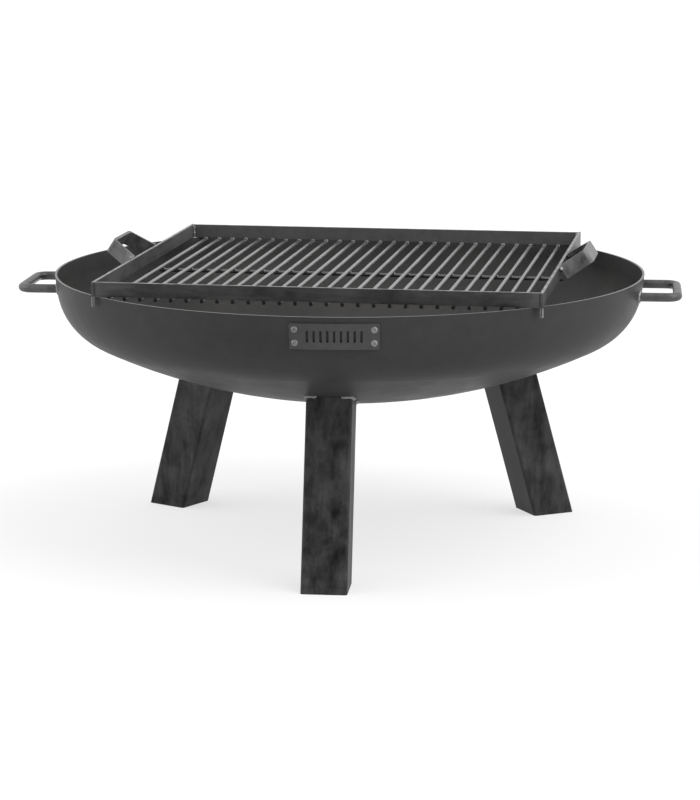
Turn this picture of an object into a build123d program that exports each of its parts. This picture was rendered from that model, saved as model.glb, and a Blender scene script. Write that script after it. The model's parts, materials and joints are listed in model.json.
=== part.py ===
from build123d import *
import os
from math import asin, atan2, cos, degrees, radians, sin

# Free-standing fire bowl on three square legs, with a loose cooking grate that lifts off.
#
# Millimetres, +Z up. The origin is on the ground, on the bowl's axis.
# The front leg points to -Y, and the bowl's two carrying handles point to -X and +X.
# Each piece is written to its own STEP file, named after the piece.

os.makedirs("parts", exist_ok=True)

# Bowl: a pressed dish with a short flared edge, a knuckle and a flatter crown.
BOWL_RADIUS = 400.0
BOWL_WALL = 3.0
RIM_HEIGHT = 367.0
FLARE_ANGLE = 7.0
FLARE_LENGTH = 24.0
KNUCKLE_RADIUS = 85.0
CROWN_RADIUS = 795.0

# Clearance left between the bowl's curved face and each piece that is welded to it.
WELD_GAP = 0.15

# Legs: square tube, one face outwards, splayed, and cut off flat on the ground.
LEG_COUNT = 3
LEG_NAMES = ("leg_front", "leg_right", "leg_left")
LEG_SIZE = 60.0
LEG_WALL = 3.0
LEG_CORNER = 4.0
LEG_FOOT_RADIUS = 306.0
LEG_TILT = 16.5
LEG_CUT_LENGTH = 290.0
LEG_BELOW_GROUND = 30.0
LEG_WELD_LENGTH = 15.0
LEG_WELD_SIZE = 3.5

# Carrying handles: round bar bent to a flat U and welded to the bowl's side.
HANDLE_BAR = 12.0
HANDLE_WIDTH = 117.0
HANDLE_REACH = 444.0
HANDLE_START = 380.0
HANDLE_DROP = 23.0
HANDLE_BEND = 15.0
HANDLE_WELD_RADIUS = 11.0
HANDLE_WELD_HEIGHT = 10.0

# Name plate: a strip with plain slots, bent round the bowl and held by four rivets.
PLATE_HEIGHT = 33.0
PLATE_ARC = 16.0
PLATE_THICKNESS = 2.0
PLATE_DROP = 24.0
PLATE_AZIMUTH = -87.0
PLATE_CORNER = 2.0
PLATE_GAP = 0.2
SLOT_COUNT = 9
SLOT_STEP = 1.2
SLOT_LENGTH = 15.0
SLOT_WIDTH = 3.0
RIVET_ARC = 14.1
RIVET_SPACING = 17.0
RIVET_SHANK = 4.0
RIVET_HOLE = 4.2
RIVET_HEAD = 8.5
RIVET_HEAD_HEIGHT = 1.7
RIVET_TAIL = 6.5
RIVET_TAIL_HEIGHT = 1.3
RIVET_TAIL_CLEARANCE = 1.0

# Grate: four flat bars on edge, round rods under them, and a rod across underneath.
GRATE_SIZE = 578.0
GRATE_TURN = -3.7
GRATE_SHIFT = 2.5
GRATE_GAP = 0.3
BAR_HEIGHT = 19.0
BAR_THICKNESS = 4.0
BAR_EDGE = 0.5
ROD_DIAMETER = 5.0
ROD_COUNT = 27
ROD_PITCH = 20.1
ROD_SHIFT = -4.5
ROD_END_INSET = 0.5
ROD_GAP = 0.05
CROSS_ROD_Y = 5.0
CROSS_ROD_START = -269.0
CORNER_WELD = 3.5

# Pegs under the grate's corners, which keep it centred on the rim.
PEG_DIAMETER = 5.0
PEG_LENGTH = 12.5

# Grate handles: flat strip bent to a trapezoid U and cut square, tilted upwards, and
# welded to the side bars by the upper corners of its ends.
STRIP_WIDTH = 20.0
STRIP_THICKNESS = 4.0
STRIP_BEND = 7.0
STRIP_TILT = 33.0
STRIP_REACH = 43.5
STRIP_INSET = 12.0
STRIP_RISE = 8.0
STRIP_ROOT_WIDTH = 124.0
STRIP_GRIP_WIDTH = 84.0
STRIP_GAP = 0.1
STRIP_WELD_RADIUS = 3.2
STRIP_WELD_DEPTH = 3.4

# Sizes worked out from the ones above.
flare = radians(FLARE_ANGLE)
flare_end_r = BOWL_RADIUS - FLARE_LENGTH * sin(flare)
flare_end_z = RIM_HEIGHT - FLARE_LENGTH * cos(flare)
knuckle_r = flare_end_r - KNUCKLE_RADIUS * cos(flare)
knuckle_z = flare_end_z + KNUCKLE_RADIUS * sin(flare)
crown_z = knuckle_z + ((CROWN_RADIUS - KNUCKLE_RADIUS) ** 2 - knuckle_r**2) ** 0.5
join_angle = degrees(atan2(knuckle_z - crown_z, knuckle_r))
bar_z = RIM_HEIGHT + GRATE_GAP
rod_z = bar_z - ROD_GAP - ROD_DIAMETER / 2
rod_reach = GRATE_SIZE / 2 - ROD_END_INSET
bar_inner = GRATE_SIZE / 2 - BAR_THICKNESS
grate_x = Vector(1, 0, 0).rotate(Axis.Z, GRATE_TURN)
grate_y = Vector(0, 1, 0).rotate(Axis.Z, GRATE_TURN)


def dish_wall(depth):
    """Draw the bowl's wall from rim to axis, at a depth inside its outer face."""
    knuckle = KNUCKLE_RADIUS - depth
    crown = CROWN_RADIUS - depth
    flare_end = Vector(knuckle_r + knuckle * cos(flare), knuckle_z - knuckle * sin(flare))
    rise = RIM_HEIGHT - flare_end.Y
    rim = Vector(flare_end.X + rise * sin(flare) / cos(flare), RIM_HEIGHT)
    Line(rim, flare_end)
    CenterArc((knuckle_r, knuckle_z), knuckle, -FLARE_ANGLE, join_angle + FLARE_ANGLE)
    CenterArc((0, crown_z), crown, -90, join_angle + 90)
    return rim, Vector(0, crown_z - crown)


def dish_solid(growth):
    """Make the filled dish, with its outer face moved out by growth."""
    with BuildPart() as dish:
        with BuildSketch(Plane.XZ):
            with BuildLine():
                rim, bottom = dish_wall(-growth)
                Polyline(bottom, (0, RIM_HEIGHT), rim)
            make_face()
        revolve(axis=Axis.Z)
    return dish.part


def grate_plane(x, y, z):
    """A level plane on the grate's own axes, which are turned and shifted on the bowl."""
    return Plane(origin=grate_x * x + grate_y * y + Vector(GRATE_SHIFT, 0, z), x_dir=grate_x)


def finish(piece, piece_name):
    """Label one finished piece and write its STEP file."""
    piece.part.label = piece_name
    export_step(piece.part, f"parts/{piece_name}.step")


# Filled dishes that trim whatever meets the bowl.
trim_dish = dish_solid(WELD_GAP)
weld_dish = dish_solid(LEG_WELD_SIZE)

# Plate and rivet places, on the wall at the plate's mid-height.
plate_lean = asin((knuckle_z - RIM_HEIGHT + PLATE_DROP) / KNUCKLE_RADIUS)
plate_wall = Vector(knuckle_r + KNUCKLE_RADIUS * cos(plate_lean), 0, RIM_HEIGHT - PLATE_DROP)
plate_out = Vector(cos(plate_lean), 0, -sin(plate_lean))
plate_up = Vector(sin(plate_lean), 0, cos(plate_lean))


def plate_plane(azimuth, up):
    """A plane on the plate's outer face, facing out, a distance up its slope."""
    origin = plate_wall + plate_out * (PLATE_GAP + PLATE_THICKNESS) + plate_up * up
    turn = PLATE_AZIMUTH + azimuth
    return Plane(
        origin=origin.rotate(Axis.Z, turn),
        x_dir=Vector(0, 1, 0).rotate(Axis.Z, turn),
        z_dir=plate_out.rotate(Axis.Z, turn),
    )


rivet_planes = [
    plate_plane(azimuth, up)
    for azimuth in (-RIVET_ARC / 2, RIVET_ARC / 2)
    for up in (-RIVET_SPACING / 2, RIVET_SPACING / 2)
]
slot_planes = [plate_plane((i - (SLOT_COUNT - 1) / 2) * SLOT_STEP, 0) for i in range(SLOT_COUNT)]
rivet_grip = PLATE_THICKNESS + PLATE_GAP + BOWL_WALL

# Bowl, with the four rivet holes.
with BuildPart() as bowl:
    with BuildSketch(Plane.XZ):
        with BuildLine():
            outer_rim, outer_bottom = dish_wall(0)
            inner_rim, inner_bottom = dish_wall(BOWL_WALL)
            Line(outer_rim, inner_rim)
            Line(outer_bottom, inner_bottom)
        make_face()
    revolve(axis=Axis.Z)
    with BuildSketch(*rivet_planes):
        Circle(RIVET_HOLE / 2)
    extrude(amount=-3 * rivet_grip, mode=Mode.SUBTRACT)
finish(bowl, "bowl")

# Plate: straight up its slope, round in plan, with plain upright slots.
with BuildPart() as badge_plate:
    plate_start = PLATE_AZIMUTH - PLATE_ARC / 2
    plate_middle = plate_wall + plate_out * (PLATE_GAP + PLATE_THICKNESS / 2)
    with BuildSketch(
        Plane(
            origin=(0, 0, 0),
            x_dir=Vector(1, 0, 0).rotate(Axis.Z, plate_start),
            z_dir=Vector(0, -1, 0).rotate(Axis.Z, plate_start),
        )
    ):
        with Locations((plate_middle.X, plate_middle.Z)):
            Rectangle(PLATE_THICKNESS, PLATE_HEIGHT, rotation=-degrees(plate_lean))
    revolve(axis=Axis.Z, revolution_arc=PLATE_ARC)
    fillet(badge_plate.edges().group_by(SortBy.LENGTH)[0], PLATE_CORNER)
    with BuildSketch(*rivet_planes):
        Circle(RIVET_HOLE / 2)
    extrude(amount=2 * PLATE_THICKNESS, both=True, mode=Mode.SUBTRACT)
    with BuildSketch(*slot_planes):
        SlotOverall(SLOT_LENGTH, SLOT_WIDTH, rotation=90)
    extrude(amount=2 * PLATE_THICKNESS, both=True, mode=Mode.SUBTRACT)
finish(badge_plate, "badge_plate")

# Rivets: a domed head on the plate, a shank, and a flat tail inside the bowl.
dome_radius = ((RIVET_HEAD / 2) ** 2 + RIVET_HEAD_HEIGHT**2) / (2 * RIVET_HEAD_HEIGHT)
dome_centre = RIVET_HEAD_HEIGHT - dome_radius
dome_base_angle = degrees(asin(-dome_centre / dome_radius))
tail_start = -rivet_grip - RIVET_TAIL_CLEARANCE
with BuildPart() as badge_rivets:
    with Locations(*[plane.offset(dome_centre) for plane in rivet_planes]):
        Sphere(dome_radius, arc_size1=dome_base_angle, align=None)
    with BuildSketch(*rivet_planes):
        Circle(RIVET_SHANK / 2)
    extrude(amount=tail_start)
    with BuildSketch(*[plane.offset(tail_start) for plane in rivet_planes]):
        Circle(RIVET_TAIL / 2)
    extrude(amount=-RIVET_TAIL_HEIGHT)
finish(badge_rivets, "badge_rivets")

# Legs, each trimmed on the ground and against the bowl, with four corner welds.
for index, leg_name in enumerate(LEG_NAMES):
    azimuth = -90 + index * 360 / LEG_COUNT
    outwards = Vector(1, 0, 0).rotate(Axis.Z, azimuth)
    up_leg = Vector(0, 0, cos(radians(LEG_TILT))) - outwards * sin(radians(LEG_TILT))
    foot = outwards * LEG_FOOT_RADIUS
    across = Vector(0, 1, 0).rotate(Axis.Z, azimuth)
    leg_plane = Plane(origin=foot, x_dir=across, z_dir=up_leg).offset(-LEG_BELOW_GROUND)
    leg_inside = LEG_SIZE - 2 * LEG_WALL

    with BuildPart() as leg:
        with BuildSketch(leg_plane):
            RectangleRounded(LEG_SIZE, LEG_SIZE, LEG_CORNER)
            RectangleRounded(leg_inside, leg_inside, LEG_CORNER - LEG_WALL, mode=Mode.SUBTRACT)
        extrude(amount=LEG_CUT_LENGTH + LEG_BELOW_GROUND)
        split(bisect_by=Plane.XY, keep=Keep.TOP)
        add(trim_dish, mode=Mode.SUBTRACT)
    finish(leg, leg_name)

    weld_outside = LEG_SIZE + 2 * LEG_WELD_SIZE
    weld_clear = LEG_SIZE - 2 * LEG_WELD_LENGTH
    with BuildPart() as leg_weld:
        with BuildSketch(leg_plane):
            RectangleRounded(weld_outside, weld_outside, LEG_CORNER + LEG_WELD_SIZE)
            RectangleRounded(LEG_SIZE, LEG_SIZE, LEG_CORNER, mode=Mode.SUBTRACT)
            Rectangle(weld_outside, weld_clear, mode=Mode.SUBTRACT)
            Rectangle(weld_clear, weld_outside, mode=Mode.SUBTRACT)
        extrude(amount=LEG_CUT_LENGTH + LEG_BELOW_GROUND)
        add(weld_dish, mode=Mode.INTERSECT)
        add(trim_dish, mode=Mode.SUBTRACT)
    finish(leg_weld, f"{leg_name}_weld")

# Carrying handles, trimmed to the bowl's side, with a weld collar round each arm.
handle_z = RIM_HEIGHT - HANDLE_DROP
wall_lean = asin((knuckle_z - handle_z) / KNUCKLE_RADIUS)
wall_r = knuckle_r + KNUCKLE_RADIUS * cos(wall_lean)
arm_root = (wall_r**2 - (HANDLE_WIDTH / 2) ** 2) ** 0.5
for side, side_name in ((-1, "left"), (1, "right")):
    with BuildPart() as bowl_handle:
        with BuildLine(Plane.XY.offset(handle_z)) as handle_path:
            FilletPolyline(
                (side * HANDLE_START, -HANDLE_WIDTH / 2),
                (side * HANDLE_REACH, -HANDLE_WIDTH / 2),
                (side * HANDLE_REACH, HANDLE_WIDTH / 2),
                (side * HANDLE_START, HANDLE_WIDTH / 2),
                radius=HANDLE_BEND,
            )
        with BuildSketch(Plane(origin=handle_path.line @ 0, z_dir=handle_path.line % 0)):
            Circle(HANDLE_BAR / 2)
        sweep()
        add(trim_dish, mode=Mode.SUBTRACT)
    finish(bowl_handle, f"bowl_handle_{side_name}")

    arm_planes = [
        Plane(origin=(side * arm_root, y, handle_z), z_dir=(side, 0, 0))
        for y in (-HANDLE_WIDTH / 2, HANDLE_WIDTH / 2)
    ]
    with BuildPart() as bowl_handle_weld:
        with Locations(*arm_planes):
            Cone(HANDLE_WELD_RADIUS, HANDLE_BAR / 2, HANDLE_WELD_HEIGHT)
            Cylinder(HANDLE_BAR / 2, 2 * HANDLE_WELD_HEIGHT, mode=Mode.SUBTRACT)
        add(trim_dish, mode=Mode.SUBTRACT)
    finish(bowl_handle_weld, f"bowl_handle_{side_name}_weld")

# Grate frame: the side bars run the full depth, and the front and back bars fit between.
for bar_name, x, y in (
    ("grate_bar_left", -1, 0),
    ("grate_bar_right", 1, 0),
    ("grate_bar_front", 0, -1),
    ("grate_bar_back", 0, 1),
):
    reach = GRATE_SIZE / 2 - BAR_THICKNESS / 2
    with BuildPart() as grate_bar:
        with BuildSketch(grate_plane(x * reach, y * reach, bar_z)):
            if x:
                Rectangle(BAR_THICKNESS, GRATE_SIZE)
            else:
                Rectangle(2 * bar_inner, BAR_THICKNESS)
        extrude(amount=BAR_HEIGHT)
        long_edges = grate_bar.edges().group_by(SortBy.LENGTH)[-1]
        fillet(long_edges, BAR_EDGE)
    finish(grate_bar, bar_name)

# Cooking rods, front to back, under the bars' lower edges.
for index in range(ROD_COUNT):
    rod_x = ROD_SHIFT + (index - (ROD_COUNT - 1) / 2) * ROD_PITCH
    rod_start = grate_plane(rod_x, -rod_reach, rod_z).origin
    with BuildPart() as grate_rod:
        with BuildSketch(Plane(origin=rod_start, x_dir=grate_x, z_dir=grate_y)):
            Circle(ROD_DIAMETER / 2)
        extrude(amount=2 * rod_reach)
    finish(grate_rod, f"grate_rod_{index + 1:02d}")

# Cross rod, under the cooking rods, from the first rod to the right side bar.
cross_z = rod_z - ROD_DIAMETER - ROD_GAP
cross_start = grate_plane(CROSS_ROD_START, CROSS_ROD_Y, cross_z).origin
with BuildPart() as grate_cross_rod:
    with BuildSketch(Plane(origin=cross_start, x_dir=grate_y, z_dir=grate_x)):
        Circle(ROD_DIAMETER / 2)
    extrude(amount=rod_reach - CROSS_ROD_START)
finish(grate_cross_rod, "grate_cross_rod")

# Corner pegs, which hang outside the rim.
peg_x = GRATE_SIZE / 2 - BAR_THICKNESS / 2
peg_y = GRATE_SIZE / 2 - PEG_DIAMETER / 2
for peg_name, x, y in (
    ("grate_peg_front_left", -1, -1),
    ("grate_peg_front_right", 1, -1),
    ("grate_peg_back_left", -1, 1),
    ("grate_peg_back_right", 1, 1),
):
    with BuildPart() as grate_peg:
        with BuildSketch(grate_plane(x * peg_x, y * peg_y, bar_z)):
            Circle(PEG_DIAMETER / 2)
        extrude(amount=-PEG_LENGTH)
        chamfer(grate_peg.faces().sort_by(Axis.Z)[0].edges(), BAR_EDGE)
    finish(grate_peg, peg_name)

# Welds up the four inner corners of the frame.
with BuildPart() as grate_corner_welds:
    for x in (-1, 1):
        for y in (-1, 1):
            with BuildSketch(grate_plane(x * bar_inner, y * bar_inner, bar_z + BAR_EDGE)):
                Polygon((0, 0), (-x * CORNER_WELD, 0), (0, -y * CORNER_WELD), align=None)
            extrude(amount=BAR_HEIGHT - 2 * BAR_EDGE)
finish(grate_corner_welds, "grate_corner_welds")

# Grate handles, with a weld bead where each arm's end meets the bar.
root_z = bar_z + STRIP_RISE
arm_slope = (STRIP_ROOT_WIDTH - STRIP_GRIP_WIDTH) / 2 / STRIP_REACH
inset_width = STRIP_ROOT_WIDTH + 2 * arm_slope * STRIP_INSET
strip_start = (STRIP_GAP + STRIP_WIDTH / 2 * sin(radians(STRIP_TILT))) / cos(radians(STRIP_TILT))
weld_y = STRIP_ROOT_WIDTH / 2 - arm_slope * strip_start
weld_z = BAR_HEIGHT - STRIP_RISE - STRIP_WELD_DEPTH
for side, side_name in ((-1, "left"), (1, "right")):
    tilt = radians(STRIP_TILT)
    bar_face = grate_plane(side * GRATE_SIZE / 2, 0, root_z).origin
    reach_dir = grate_x * side * cos(tilt) + Vector(0, 0, sin(tilt))
    strip_plane = Plane(origin=bar_face, x_dir=grate_y, z_dir=grate_y.cross(reach_dir))
    cut_plane = Plane(origin=bar_face + reach_dir * strip_start, z_dir=reach_dir)

    with BuildPart() as grate_handle:
        with BuildLine(strip_plane) as strip_path:
            FilletPolyline(
                (-inset_width / 2, -STRIP_INSET),
                (-STRIP_GRIP_WIDTH / 2, STRIP_REACH),
                (STRIP_GRIP_WIDTH / 2, STRIP_REACH),
                (inset_width / 2, -STRIP_INSET),
                radius=STRIP_BEND,
            )
        strip_end = Plane(
            origin=strip_path.line @ 0, x_dir=strip_plane.z_dir, z_dir=strip_path.line % 0
        )
        with BuildSketch(strip_end):
            Rectangle(STRIP_WIDTH, STRIP_THICKNESS)
        sweep()
        split(bisect_by=cut_plane, keep=Keep.TOP)
    finish(grate_handle, f"grate_handle_{side_name}")

    bead_places = [
        bar_face + grate_x * side * STRIP_GAP + grate_y * y + Vector(0, 0, weld_z)
        for y in (-weld_y, weld_y)
    ]
    with BuildPart() as grate_handle_weld:
        with Locations(*[Plane(origin=place, z_dir=grate_x * side) for place in bead_places]):
            Sphere(STRIP_WELD_RADIUS, arc_size1=0, align=None)
        add(grate_handle.part, mode=Mode.SUBTRACT)
    finish(grate_handle_weld, f"grate_handle_{side_name}_weld")
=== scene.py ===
import json
import math
import random

import bmesh
import bpy
from mathutils import Matrix, Vector
from mathutils.bvhtree import BVHTree


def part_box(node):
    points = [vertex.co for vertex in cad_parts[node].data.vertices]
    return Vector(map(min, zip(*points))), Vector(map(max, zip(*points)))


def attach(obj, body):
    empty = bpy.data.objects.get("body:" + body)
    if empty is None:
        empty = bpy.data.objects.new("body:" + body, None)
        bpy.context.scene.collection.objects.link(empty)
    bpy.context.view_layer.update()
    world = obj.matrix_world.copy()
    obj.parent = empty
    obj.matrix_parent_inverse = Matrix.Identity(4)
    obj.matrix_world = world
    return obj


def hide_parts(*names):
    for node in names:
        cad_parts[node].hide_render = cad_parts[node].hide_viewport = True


# A steel fire bowl on three square legs, with a loose cooking grate that lifts off.
# Metres, in the row frame: origin on the ground on the bowl's axis, front leg towards -Y.

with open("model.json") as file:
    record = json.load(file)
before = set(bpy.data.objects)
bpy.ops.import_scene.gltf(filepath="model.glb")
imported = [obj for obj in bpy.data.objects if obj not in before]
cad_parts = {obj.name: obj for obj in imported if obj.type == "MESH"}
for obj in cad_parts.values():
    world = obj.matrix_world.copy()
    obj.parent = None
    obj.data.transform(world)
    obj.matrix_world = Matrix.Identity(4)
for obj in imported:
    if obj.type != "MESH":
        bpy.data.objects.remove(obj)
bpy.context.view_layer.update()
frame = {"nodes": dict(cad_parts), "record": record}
nodes = frame["nodes"]
random.seed(7)

MM = 0.001

# Camera at the reference viewing angle.
CAMERA_PLACE = (0.3626, -3.5996, 0.9012)
CAMERA_TILT = math.radians(78.81)
CAMERA_TURN = math.radians(5.75)
CAMERA_ROLL = math.radians(-0.06)
CAMERA_LENS = 120.5

# Places that the welds need, worked out from the CAD's driving dimensions.
LEG_SIZE = 60 * MM
LEG_CORNER = 4 * MM
LEG_FOOT_RADIUS = 306 * MM
LEG_TILT = math.radians(16.5)
LEG_WELD_LENGTH = 15 * MM
LEG_AZIMUTHS = {"leg_front": -90, "leg_right": 30, "leg_left": 150}
HANDLE_BAR = 12 * MM
HANDLE_WIDTH = 117 * MM
GRATE_SIZE = 578 * MM
GRATE_TURN = math.radians(-3.7)
GRATE_SHIFT = 2.5 * MM
BAR_THICKNESS = 4 * MM
ROD_COUNT = 27
ROD_PITCH = 20.1 * MM
ROD_SHIFT = -4.5 * MM
ROD_RADIUS = 2.5 * MM
CROSS_ROD_Y = 5 * MM
STRIP_ROOT_WIDTH = 124 * MM
STRIP_GRIP_WIDTH = 84 * MM
STRIP_REACH = 43.5 * MM
STRIP_START = 6.6 * MM

grate_x = Vector((math.cos(GRATE_TURN), math.sin(GRATE_TURN), 0))
grate_y = Vector((-math.sin(GRATE_TURN), math.cos(GRATE_TURN), 0))
bar_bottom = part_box("grate_bar_front")[0].z
bar_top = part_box("grate_bar_front")[1].z
bar_inner = GRATE_SIZE / 2 - BAR_THICKNESS
rod_z = (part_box("grate_rod_14")[0].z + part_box("grate_rod_14")[1].z) / 2
cross_z = (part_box("grate_cross_rod")[0].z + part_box("grate_cross_rod")[1].z) / 2
handle_z = (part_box("bowl_handle_left")[0].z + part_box("bowl_handle_left")[1].z) / 2
UP = Vector((0, 0, 1))


def on_grate(x, y, z):
    """A point given on the grate's own axes, which are turned and shifted on the bowl."""
    return grate_x * x + grate_y * y + Vector((GRATE_SHIFT, 0, z))


# ---------------------------------------------------------------- materials


def add_node(tree, kind, inputs=None, **settings):
    """Add one shader node; inputs are values or the sockets that feed it."""
    made = tree.nodes.new(kind)
    for key, value in settings.items():
        setattr(made, key, value)
    for key, value in (inputs or {}).items():
        if isinstance(value, bpy.types.NodeSocket):
            tree.links.new(value, made.inputs[key])
        else:
            made.inputs[key].default_value = value
    return made


def noise(tree, vector, scale, detail=4.0, rough=0.55, distortion=0.0):
    """Cloudy noise, 0 to 1."""
    inputs = {"Vector": vector, "Scale": scale, "Detail": detail, "Roughness": rough,
              "Distortion": distortion}
    return add_node(tree, "ShaderNodeTexNoise", inputs).outputs["Fac"]


def remap(tree, value, low, high, to_low=0.0, to_high=1.0):
    """Stretch low..high to to_low..to_high, held at both ends."""
    inputs = {"Value": value, "From Min": low, "From Max": high, "To Min": to_low, "To Max": to_high}
    return add_node(tree, "ShaderNodeMapRange", inputs).outputs["Result"]


def maths(tree, operation, a, b):
    """One sum on two values."""
    return add_node(tree, "ShaderNodeMath", {0: a, 1: b}, operation=operation).outputs[0]


def blend_colour(tree, factor, a, b):
    """Mix colours a and b."""
    made = add_node(tree, "ShaderNodeMix", data_type="RGBA")
    for index, value in ((0, factor), (6, a), (7, b)):
        if isinstance(value, bpy.types.NodeSocket):
            tree.links.new(value, made.inputs[index])
        else:
            made.inputs[index].default_value = value
    return made.outputs[2]


def grey(value, warm=0.0):
    """A near-neutral colour."""
    return (value * (1 + warm), value, value * (1 - warm), 1)


def facing(tree):
    """The surface normal's three parts."""
    normal = add_node(tree, "ShaderNodeNewGeometry").outputs["Normal"]
    return add_node(tree, "ShaderNodeSeparateXYZ", {0: normal}).outputs


def object_place(tree):
    """The place on the piece."""
    return add_node(tree, "ShaderNodeTexCoord").outputs["Object"]


def place_along(tree, axis):
    """One part of the place on the piece."""
    return add_node(tree, "ShaderNodeSeparateXYZ", {0: object_place(tree)}).outputs[axis]


def overlay(mat, mask, colour):
    """Lay a second colour over a material's own, where the mask is 1."""
    tree = mat.node_tree
    socket = tree.nodes["Principled BSDF"].inputs["Base Color"]
    under = socket.links[0].from_socket
    tree.links.new(blend_colour(tree, mask, under, colour), socket)


def edge_wear(tree, turn):
    """1 on rounded edges and 0 on flat faces, for a boxy piece whose axes are turned by these angles."""
    normal = add_node(tree, "ShaderNodeNewGeometry").outputs["Normal"]
    inputs = {"Vector": normal, "Rotation": turn}
    turned = add_node(tree, "ShaderNodeVectorRotate", inputs, rotation_type="EULER_XYZ", invert=True)
    parts = add_node(tree, "ShaderNodeSeparateXYZ", {0: turned.outputs[0]}).outputs
    sizes = [maths(tree, "ABSOLUTE", part, 0.0) for part in parts]
    largest = maths(tree, "MAXIMUM", maths(tree, "MAXIMUM", sizes[0], sizes[1]), sizes[2])
    return remap(tree, largest, 0.99, 0.85)


def steel(name, dark, light, rough, metallic=0.0, specular=0.35, stretch=(1, 1, 1),
          cloud=9.0, mottle=70.0, grain=500.0, bump=0.3, wear=None, wear_colour=0.2):
    """Dark coated or scaled steel: cloudy patches, a finer mottle, drawn grain, pits and worn edges."""
    mat = bpy.data.materials.new(name)
    mat.use_nodes = True
    tree = mat.node_tree
    bsdf = tree.nodes["Principled BSDF"]
    bsdf.inputs["Metallic"].default_value = metallic
    bsdf.inputs["Specular IOR Level"].default_value = specular
    place = object_place(tree)
    drawn = add_node(tree, "ShaderNodeMapping", {"Vector": place, "Scale": stretch}).outputs[0]
    clouds = noise(tree, place, cloud, 5.0, 0.6, 0.4)
    mottles = noise(tree, drawn, mottle, 6.0, 0.65)
    grains = noise(tree, drawn, grain, 3.0, 0.6)
    inputs = {"Vector": place, "Scale": grain * 0.6, "Randomness": 1.0}
    pits = add_node(tree, "ShaderNodeTexVoronoi", inputs).outputs["Distance"]
    pitted = remap(tree, pits, 0.05, 0.2)
    cloud_share = remap(tree, clouds, 0.35, 0.65, 0.0, 0.5)
    mottle_share = remap(tree, mottles, 0.35, 0.7, 0.0, 0.5)
    shade = maths(tree, "ADD", cloud_share, mottle_share)
    colour = blend_colour(tree, shade, grey(dark), grey(light))
    roughness = remap(tree, maths(tree, "ADD", mottles, clouds), 0.75, 1.25, rough[0], rough[1])
    if wear:
        worn = maths(tree, "MULTIPLY", edge_wear(tree, wear), remap(tree, mottles, 0.3, 0.6, 0.3, 1.0))
        colour = blend_colour(tree, worn, colour, grey(wear_colour, 0.02))
    tree.links.new(colour, bsdf.inputs["Base Color"])
    tree.links.new(roughness, bsdf.inputs["Roughness"])
    height = maths(tree, "ADD", maths(tree, "MULTIPLY", mottles, 0.6), maths(tree, "MULTIPLY", grains, 0.25))
    height = maths(tree, "ADD", height, maths(tree, "MULTIPLY", pitted, 0.15))
    inputs = {"Strength": bump, "Distance": 0.4 * MM, "Height": height}
    tree.links.new(add_node(tree, "ShaderNodeBump", inputs).outputs[0], bsdf.inputs["Normal"])
    return mat


GRATE_AXES = (0, 0, GRATE_TURN)
FINISHES = {
    "bowl_steel": dict(dark=0.029, light=0.04, rough=(0.38, 0.5), specular=0.08, cloud=6, mottle=40, bump=0.12),
    "leg_steel": dict(dark=0.001, light=0.057, rough=(0.36, 0.6), specular=0.12, stretch=(1, 1, 0.2),
                      cloud=26, mottle=75, bump=0.3),
    "handle_steel": dict(dark=0.03, light=0.095, rough=(0.26, 0.46), metallic=0.3, cloud=40, mottle=120,
                         bump=0.25),
    "grate_steel": dict(dark=0.018, light=0.068, rough=(0.34, 0.52), metallic=0.2, stretch=(0.3, 0.3, 1.3),
                        mottle=130, cloud=14, bump=0.35, wear=GRATE_AXES, wear_colour=0.2),
    "strip_steel": dict(dark=0.015, light=0.17, rough=(0.24, 0.46), metallic=0.35, stretch=(1, 1, 0.2),
                        cloud=30, mottle=60, grain=700, bump=0.3),
    "rod_steel": dict(dark=0.2, light=0.34, rough=(0.3, 0.42), metallic=0.9, mottle=140, bump=0.2),
    "weld_steel": dict(dark=0.10, light=0.28, rough=(0.26, 0.42), metallic=0.85, mottle=400, grain=900, bump=0.4),
    "plate_steel": dict(dark=0.022, light=0.042, rough=(0.36, 0.5), mottle=120, bump=0.3),
    "rivet_steel": dict(dark=0.10, light=0.22, rough=(0.3, 0.45), metallic=0.7, mottle=300, grain=900, bump=0.3),
}
materials = {name: steel(name, **finish) for name, finish in FINISHES.items()}

# The rim's bare cut edge, and a haze of ash inside the bowl.
tree = materials["bowl_steel"].node_tree
up_facing = facing(tree)["Z"]
at_rim = remap(tree, place_along(tree, "Z"), 0.3662, 0.3668)
cut_edge = maths(tree, "MULTIPLY", at_rim, remap(tree, up_facing, 0.3, 0.8))
haze = remap(tree, noise(tree, object_place(tree), 7, 5, 0.6), 0.35, 0.7, 0.1, 0.8)
ash = maths(tree, "MULTIPLY", remap(tree, up_facing, 0.02, 0.2), haze)
overlay(materials["bowl_steel"], ash, grey(0.06, 0.04))
overlay(materials["bowl_steel"], cut_edge, grey(0.16))

# Painted light: the back bar lightened in patches, standing in for the light that falls on it; and the bars'
# scuffed upper edges.
tree = materials["grate_steel"].node_tree
scuffs = noise(tree, object_place(tree), 90, 5, 0.65)
at_back = remap(tree, place_along(tree, "Y"), 0.15, 0.27)
painted_light_at_back = maths(tree, "MULTIPLY", at_back, remap(tree, scuffs, 0.3, 0.6, 0.6, 1.0))
overlay(materials["grate_steel"], painted_light_at_back, grey(0.085))
on_top = remap(tree, facing(tree)["Z"], 0.5, 0.9)
scuffed = maths(tree, "MULTIPLY", on_top, remap(tree, scuffs, 0.4, 0.6, 0.1, 1.0))
overlay(materials["grate_steel"], scuffed, grey(0.24))
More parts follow.
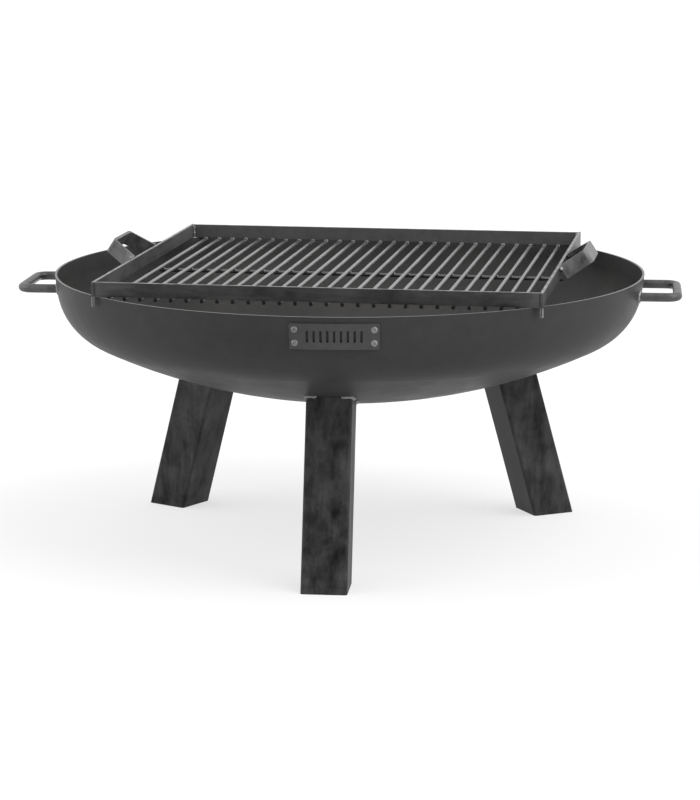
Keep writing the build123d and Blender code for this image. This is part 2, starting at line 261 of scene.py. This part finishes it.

# The cross rod, lying under the cooking rods, coloured darker than them; and those rods' ends, burnt dark by the
# welding.
CROSS_ROD_TOP = (0.3619, 0.3623)
tree = materials["rod_steel"].node_tree
at_end = remap(tree, maths(tree, "ABSOLUTE", facing(tree)["Y"], 0.0), 0.75, 0.95)
above = remap(tree, place_along(tree, "Z"), *CROSS_ROD_TOP)
below = remap(tree, place_along(tree, "Z"), *reversed(CROSS_ROD_TOP))
overlay(materials["rod_steel"], below, grey(0.11))
overlay(materials["rod_steel"], maths(tree, "MULTIPLY", at_end, above), grey(0.06))

for subpart in frame["record"]["subparts"]:
    for material_slot in nodes[subpart["node"]].material_slots:
        material_slot.material = materials[subpart["material_slot"]]


# ---------------------------------------------------------------- mesh tools


def surface(node_name):
    """A ray-castable copy of a CAD node's surface."""
    mesh = nodes[node_name].data
    return BVHTree.FromPolygons([v.co for v in mesh.vertices], [p.vertices for p in mesh.polygons])


def finish_piece(name, bm, body, slot_name, *replaced):
    """Turn a bmesh into a piece that rides on a body."""
    bmesh.ops.recalc_face_normals(bm, faces=bm.faces)
    mesh = bpy.data.meshes.new(name)
    bm.to_mesh(mesh)
    bm.free()
    for polygon in mesh.polygons:
        polygon.use_smooth = True
    piece = bpy.data.objects.new(name, mesh)
    bpy.context.scene.collection.objects.link(piece)
    mesh.materials.append(materials[slot_name])
    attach(piece, body)
    if replaced:
        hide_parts(*replaced)
    return piece


def resample(points, outs, step, closed):
    """Walk a path in even steps; gives points, outward directions and tangents."""
    if closed:
        points = points + points[:1]
        outs = outs + outs[:1]
    lengths = [0.0]
    for a, b in zip(points, points[1:]):
        lengths.append(lengths[-1] + (b - a).length)
    count = max(3, round(lengths[-1] / step))
    walked = []
    index = 0
    for i in range(count if closed else count + 1):
        distance = lengths[-1] * i / count
        while index < len(points) - 2 and lengths[index + 1] < distance:
            index += 1
        share = (distance - lengths[index]) / (lengths[index + 1] - lengths[index])
        tangent = (points[index + 1] - points[index]).normalized()
        walked.append((distance, points[index].lerp(points[index + 1], share),
                       outs[index].lerp(outs[index + 1], share), tangent))
    return walked, lengths[-1]


BEAD_SIDES = 14
BEAD_STEPS = 7


def bead(bm, points, outs, width, height, pitch, closed=False):
    """A weld bead along a path: overlapping ripples, curved back at the sides, bulging towards outs."""
    walked, length = resample(points, outs, pitch / BEAD_STEPS, closed)
    size_of = [random.uniform(0.86, 1.1) for _ in range(int(length / pitch) + 3)]
    lean_of = [random.uniform(-0.07, 0.07) for _ in size_of]
    rings = []
    for distance, point, out, tangent in walked:
        out = (out - tangent * out.dot(tangent)).normalized()
        across = tangent.cross(out)
        ends = 1.0
        if not closed:
            near = min(distance, length - distance) / (width * 0.5)
            ends = math.sqrt(max(0.0, 1 - max(0.0, 1 - near) ** 2)) * 0.97 + 0.03
        ring = []
        for side in range(BEAD_SIDES):
            angle = 2 * math.pi * side / BEAD_SIDES
            c, s = math.cos(angle), math.sin(angle)
            phase = distance / pitch + 0.45 * c * c
            whole = int(phase) % len(size_of)
            ripple = 0.86 + 0.18 * math.sin(math.pi * (phase % 1.0)) ** 0.7
            swell = ripple * size_of[whole] * ends
            lift = height * s * swell if s > 0 else height * 0.4 * s * ends
            sideways = width / 2 * c * swell + width * lean_of[whole]
            ring.append(bm.verts.new(point + across * sideways + out * lift))
        rings.append(ring)
    pairs = list(zip(rings, rings[1:]))
    if closed:
        pairs.append((rings[-1], rings[0]))
    for a, b in pairs:
        for side in range(BEAD_SIDES):
            after = (side + 1) % BEAD_SIDES
            bm.faces.new((a[side], a[after], b[after], b[side]))
    if not closed:
        bm.faces.new(rings[0])
        bm.faces.new(rings[-1])


# ---------------------------------------------------------------- welds

# Each kind of bead: width, height and pitch of the ripples.
LEG_BEAD = (6.5 * MM, 3.2 * MM, 2.6 * MM)
BOWL_HANDLE_BEAD = (5.4 * MM, 2.8 * MM, 2.2 * MM)
CORNER_BEAD = (8 * MM, 4.6 * MM, 2.6 * MM)
CORNER_CAP_BEAD = (3.2 * MM, 1.1 * MM, 1.6 * MM)
JOINT_BEAD = (2.6 * MM, 0.6 * MM, 2.2 * MM)
STRIP_END_BEAD = (5.6 * MM, 2.4 * MM, 2.4 * MM)
STRIP_TOP_BEAD = (7.6 * MM, 4.2 * MM, 2.6 * MM)
ROD_BEAD = (2.4 * MM, 0.9 * MM, 1.3 * MM)
TACK_BEAD = (3 * MM, 1.3 * MM, 1.6 * MM)

bowl_surface = surface("bowl")


def leg_corner_path(corner_x, corner_y, leg):
    """The joint line of leg and bowl round one corner of the tube: points and outward directions."""
    azimuth = math.radians(LEG_AZIMUTHS[leg])
    outwards = Vector((math.cos(azimuth), math.sin(azimuth), 0))
    across = Vector((-math.sin(azimuth), math.cos(azimuth), 0))
    up_leg = UP * math.cos(LEG_TILT) - outwards * math.sin(LEG_TILT)
    face_out = up_leg.cross(across)
    if face_out.dot(outwards) < 0:
        face_out = -face_out
    foot = outwards * LEG_FOOT_RADIUS
    straight = LEG_SIZE / 2 - LEG_CORNER
    run = LEG_WELD_LENGTH - LEG_CORNER
    steps = [(straight - run, LEG_SIZE / 2, 0.0, 1.0)]
    for i in range(7):
        angle = math.pi / 2 * (1 - i / 6)
        c, s = math.cos(angle), math.sin(angle)
        steps.append((straight + LEG_CORNER * c, straight + LEG_CORNER * s, c, s))
    steps.append((LEG_SIZE / 2, straight - run, 1.0, 0.0))
    points, outs = [], []
    for x, y, nx, ny in steps:
        start = foot + across * x * corner_x + face_out * y * corner_y + up_leg * 0.1
        hit, _, _, _ = bowl_surface.ray_cast(start, up_leg)
        side_out = across * nx * corner_x + face_out * ny * corner_y
        points.append(hit)
        outs.append((side_out - up_leg).normalized())
    return points, outs


for leg in LEG_AZIMUTHS:
    bm = bmesh.new()
    for corner_x in (-1, 1):
        for corner_y in (-1, 1):
            points, outs = leg_corner_path(corner_x, corner_y, leg)
            bead(bm, points, outs, *LEG_BEAD)
    finish_piece(f"{leg}_weld_beads", bm, "fire_bowl", "weld_steel", f"{leg}_weld")

for side, side_name in ((-1, "left"), (1, "right")):
    bm = bmesh.new()
    for arm_y in (-HANDLE_WIDTH / 2, HANDLE_WIDTH / 2):
        points, outs = [], []
        for i in range(24):
            angle = 2 * math.pi * i / 24
            radial = Vector((0, math.cos(angle), math.sin(angle)))
            start = Vector((side * 0.5, arm_y, handle_z)) + radial * HANDLE_BAR / 2
            hit, _, _, _ = bowl_surface.ray_cast(start, Vector((-side, 0, 0)))
            points.append(hit)
            outs.append((radial + Vector((side, 0, 0))).normalized())
        bead(bm, points, outs, *BOWL_HANDLE_BEAD, closed=True)
    finish_piece(f"bowl_handle_{side_name}_weld_beads", bm, "fire_bowl", "weld_steel",
                 f"bowl_handle_{side_name}_weld")

heights = [bar_bottom + 0.8 * MM, (bar_bottom + bar_top) / 2, bar_top - 0.6 * MM]
bm = bmesh.new()
for x in (-1, 1):
    for y in (-1, 1):
        corner = [on_grate(x * bar_inner, y * bar_inner, z) for z in heights]
        inwards = (-grate_x * x - grate_y * y).normalized()
        bead(bm, corner, [inwards] * 3, *CORNER_BEAD)
        cap = [on_grate(x * (bar_inner + shift * MM), y * (GRATE_SIZE / 2 - 1.2 * MM), bar_top - 0.5 * MM)
               for shift in (0.2, 2, 3.8)]
        bead(bm, cap, [(UP + grate_y * y * 0.6).normalized()] * 3, *CORNER_CAP_BEAD)
finish_piece("grate_corner_weld_beads", bm, "grate", "weld_steel", "grate_corner_welds")

bm = bmesh.new()
for x in (-1, 1):
    for y in (-1, 1):
        joint = [on_grate(x * bar_inner, y * GRATE_SIZE / 2, z) for z in heights]
        bead(bm, joint, [grate_y * y] * 3, *JOINT_BEAD)
finish_piece("grate_joint_beads", bm, "grate", "leg_steel")

for side, side_name in ((-1, "left"), (1, "right")):
    bm = bmesh.new()
    slope = (STRIP_ROOT_WIDTH - STRIP_GRIP_WIDTH) / 2 / STRIP_REACH
    weld_y = STRIP_ROOT_WIDTH / 2 - slope * STRIP_START
    for y in (-weld_y, weld_y):
        run = [(0.5, -0.6), (1.4, -3.2), (2.8, -6.4)]
        path = [on_grate(side * (GRATE_SIZE / 2 + x * MM), y, bar_top + z * MM) for x, z in run]
        bead(bm, path, [(grate_x * side * 0.4 - UP).normalized()] * 3, *STRIP_END_BEAD)
        outer = math.copysign(MM, y)
        ahead, drop = (1.2, 3.4) if side > 0 else (1.6, 0.9)
        path = [on_grate(side * (GRATE_SIZE / 2 + ahead * MM), y + shift * outer, bar_top - drop * MM)
                for shift in (-1, 3, 7)]
        bead(bm, path, [(grate_x * side + UP * 0.3).normalized()] * 3, *STRIP_TOP_BEAD)
    finish_piece(f"grate_handle_{side_name}_weld_beads", bm, "grate", "weld_steel",
                 f"grate_handle_{side_name}_weld")

bm = bmesh.new()
for i in range(ROD_COUNT):
    rod_x = ROD_SHIFT + (i - (ROD_COUNT - 1) / 2) * ROD_PITCH
    for y in (-1, 1):
        points, outs = [], []
        for j in range(9):
            angle = math.radians(-72 + 18 * j)
            radial = grate_x * math.sin(angle) + UP * math.cos(angle)
            points.append(on_grate(rod_x, y * (bar_inner - 0.4 * MM), rod_z) + radial * ROD_RADIUS)
            outs.append((radial - grate_y * y).normalized())
        bead(bm, points, outs, *ROD_BEAD)
    side = random.choice((-1, 1))
    points = [on_grate(rod_x + side * ROD_RADIUS * 0.9, CROSS_ROD_Y + t * MM, cross_z + ROD_RADIUS * 0.9)
              for t in (-1.6, 0, 1.6)]
    bead(bm, points, [(grate_x * side + UP).normalized()] * 3, *TACK_BEAD)
finish_piece("grate_rod_weld_beads", bm, "grate", "rod_steel")


# ---------------------------------------------------------------- rivets


def lathe(bm, profile, place, axis, segments=32):
    """Spin a profile of (radius, height) round an axis through place; the ends of the profile are closed."""
    turn = axis.to_track_quat("Z", "Y").to_matrix()
    rings = []
    for radius, height in profile:
        ring = []
        for i in range(segments):
            angle = 2 * math.pi * i / segments
            spot = Vector((radius * math.cos(angle), radius * math.sin(angle), height))
            ring.append(bm.verts.new(place + turn @ spot))
        rings.append(ring)
    for a, b in zip(rings, rings[1:]):
        for i in range(segments):
            bm.faces.new((a[i], a[(i + 1) % segments], b[(i + 1) % segments], b[i]))
    bm.faces.new(rings[0])
    bm.faces.new(rings[-1])


def islands(node_name):
    """The vertex places of each separate solid in a CAD node, walked in the mesh's own order."""
    work = bmesh.new()
    work.from_mesh(nodes[node_name].data)
    bmesh.ops.remove_doubles(work, verts=work.verts, dist=1e-6)
    work.verts.index_update()
    seen = set()
    found = []
    for first in work.verts:
        if first.index in seen:
            continue
        seen.add(first.index)
        stack = [first]
        group = []
        while stack:
            vert = stack.pop()
            group.append(vert.co.copy())
            for edge in vert.link_edges:
                other = edge.other_vert(vert)
                if other.index not in seen:
                    seen.add(other.index)
                    stack.append(other)
        found.append(group)
    work.free()
    return found


# A rivet's outline as (radius, height) in mm: the tail inside the bowl, the shank, then the domed head.
RIVET_PROFILE = [
    (0.3, -8.0), (1.9, -8.0), (2.0, -7.8), (2.0, -7.6), (3.1, -7.6), (3.25, -7.4), (3.25, -6.5), (3.1, -6.3),
    (2.0, -6.3), (2.0, 0.0), (4.1, 0.0), (4.25, 0.12), (4.22, 0.35), (3.9, 0.72), (3.3, 1.1), (2.6, 1.42),
    (2.0, 1.6), (1.6, 1.66), (1.35, 1.62), (1.25, 1.5), (1.2, 0.9), (1.1, 0.8), (0.9, 0.86), (0.3, 0.92)]
RIVET_HEAD = 1.7 * MM
bm = bmesh.new()
for group in islands("badge_rivets"):
    group.sort(key=lambda co: math.hypot(co.x, co.y))
    few = max(6, len(group) // 12)
    inner_end = sum(group[:few], Vector()) / few
    outer_end = sum(group[-few:], Vector()) / few
    axis = (outer_end - inner_end).normalized()
    top = max(co.dot(axis) for co in group)
    centre = sum((Vector(co) for co in group), Vector()) / len(group)
    place = centre + axis * (top - centre.dot(axis) - RIVET_HEAD)
    lathe(bm, [(r * MM, h * MM) for r, h in RIVET_PROFILE], place, axis)
finish_piece("badge_rivet_heads", bm, "fire_bowl", "rivet_steel", "badge_rivets")


# ---------------------------------------------------------------- stage

FLOOR_HALF = 90.0
FLOOR_GREY = 0.28
FLOOR_GLOW = 0.64
SKY_FRONT = 0.34
SKY_BACK = 0.8
SKY_OVERHEAD = 0.5
SKY_SIDES = 0.8
bm = bmesh.new()
bmesh.ops.create_grid(bm, x_segments=8, y_segments=8, size=FLOOR_HALF)
floor_mesh = bpy.data.meshes.new("floor")
bm.to_mesh(floor_mesh)
bm.free()
floor = bpy.data.objects.new("floor", floor_mesh)
bpy.context.scene.collection.objects.link(floor)
floor_material = bpy.data.materials.new("pale_floor")
floor_material.use_nodes = True
floor_bsdf = floor_material.node_tree.nodes["Principled BSDF"]
floor_bsdf.inputs["Base Color"].default_value = grey(FLOOR_GREY)
floor_bsdf.inputs["Roughness"].default_value = 1.0
floor_bsdf.inputs["Specular IOR Level"].default_value = 0.0
floor_bsdf.inputs["Emission Color"].default_value = (1, 1, 1, 1)
floor_bsdf.inputs["Emission Strength"].default_value = FLOOR_GLOW
floor_mesh.materials.append(floor_material)

world = bpy.data.worlds.new("studio")
bpy.context.scene.world = world
world.use_nodes = True
sky = world.node_tree
sky.nodes["Background"].inputs["Color"].default_value = (1, 1, 1, 1)
direction = add_node(sky, "ShaderNodeTexCoord").outputs["Generated"]
parts = add_node(sky, "ShaderNodeSeparateXYZ", {0: direction}).outputs
overhead = remap(sky, parts["Z"], 0.1, 0.9, 0.0, SKY_OVERHEAD)
behind = remap(sky, parts["Y"], -0.5, 0.7, SKY_FRONT, SKY_BACK)
sides = remap(sky, maths(sky, "ABSOLUTE", parts["X"], 0.0), 0.3, 0.9, 0.0, SKY_SIDES)
strength = maths(sky, "ADD", maths(sky, "ADD", overhead, behind), sides)
sky.links.new(strength, sky.nodes["Background"].inputs["Strength"])


def sun(name, strength, spread, towards):
    """A soft distant light shining in a direction."""
    data = bpy.data.lights.new(name, "SUN")
    data.energy = strength
    data.angle = math.radians(spread)
    lamp = bpy.data.objects.new(name, data)
    lamp.rotation_euler = Vector(towards).to_track_quat("-Z", "Y").to_euler()
    bpy.context.scene.collection.objects.link(lamp)


sun("key_light", 1.0, 40, (-0.6, 0.3, -1.0))
sun("front_light", 0.3, 50, (0.05, 0.8, -0.6))
sun("left_light", 1.1, 60, (0.93, 0.2, -0.3))
sun("right_light", 1.2, 60, (-0.93, 0.2, -0.3))

camera_data = bpy.data.cameras.new("camera")
camera_data.sensor_width = 36
camera_data.lens = CAMERA_LENS
camera_data.clip_end = 300
camera = bpy.data.objects.new("camera", camera_data)
aim = Matrix.Rotation(CAMERA_TURN, 4, "Z") @ Matrix.Rotation(CAMERA_TILT, 4, "X")
camera.matrix_world = Matrix.Translation(CAMERA_PLACE) @ aim @ Matrix.Rotation(CAMERA_ROLL, 4, "Z")
bpy.context.scene.collection.objects.link(camera)
bpy.context.scene.camera = camera
bpy.context.scene.view_settings.view_transform = "Standard"
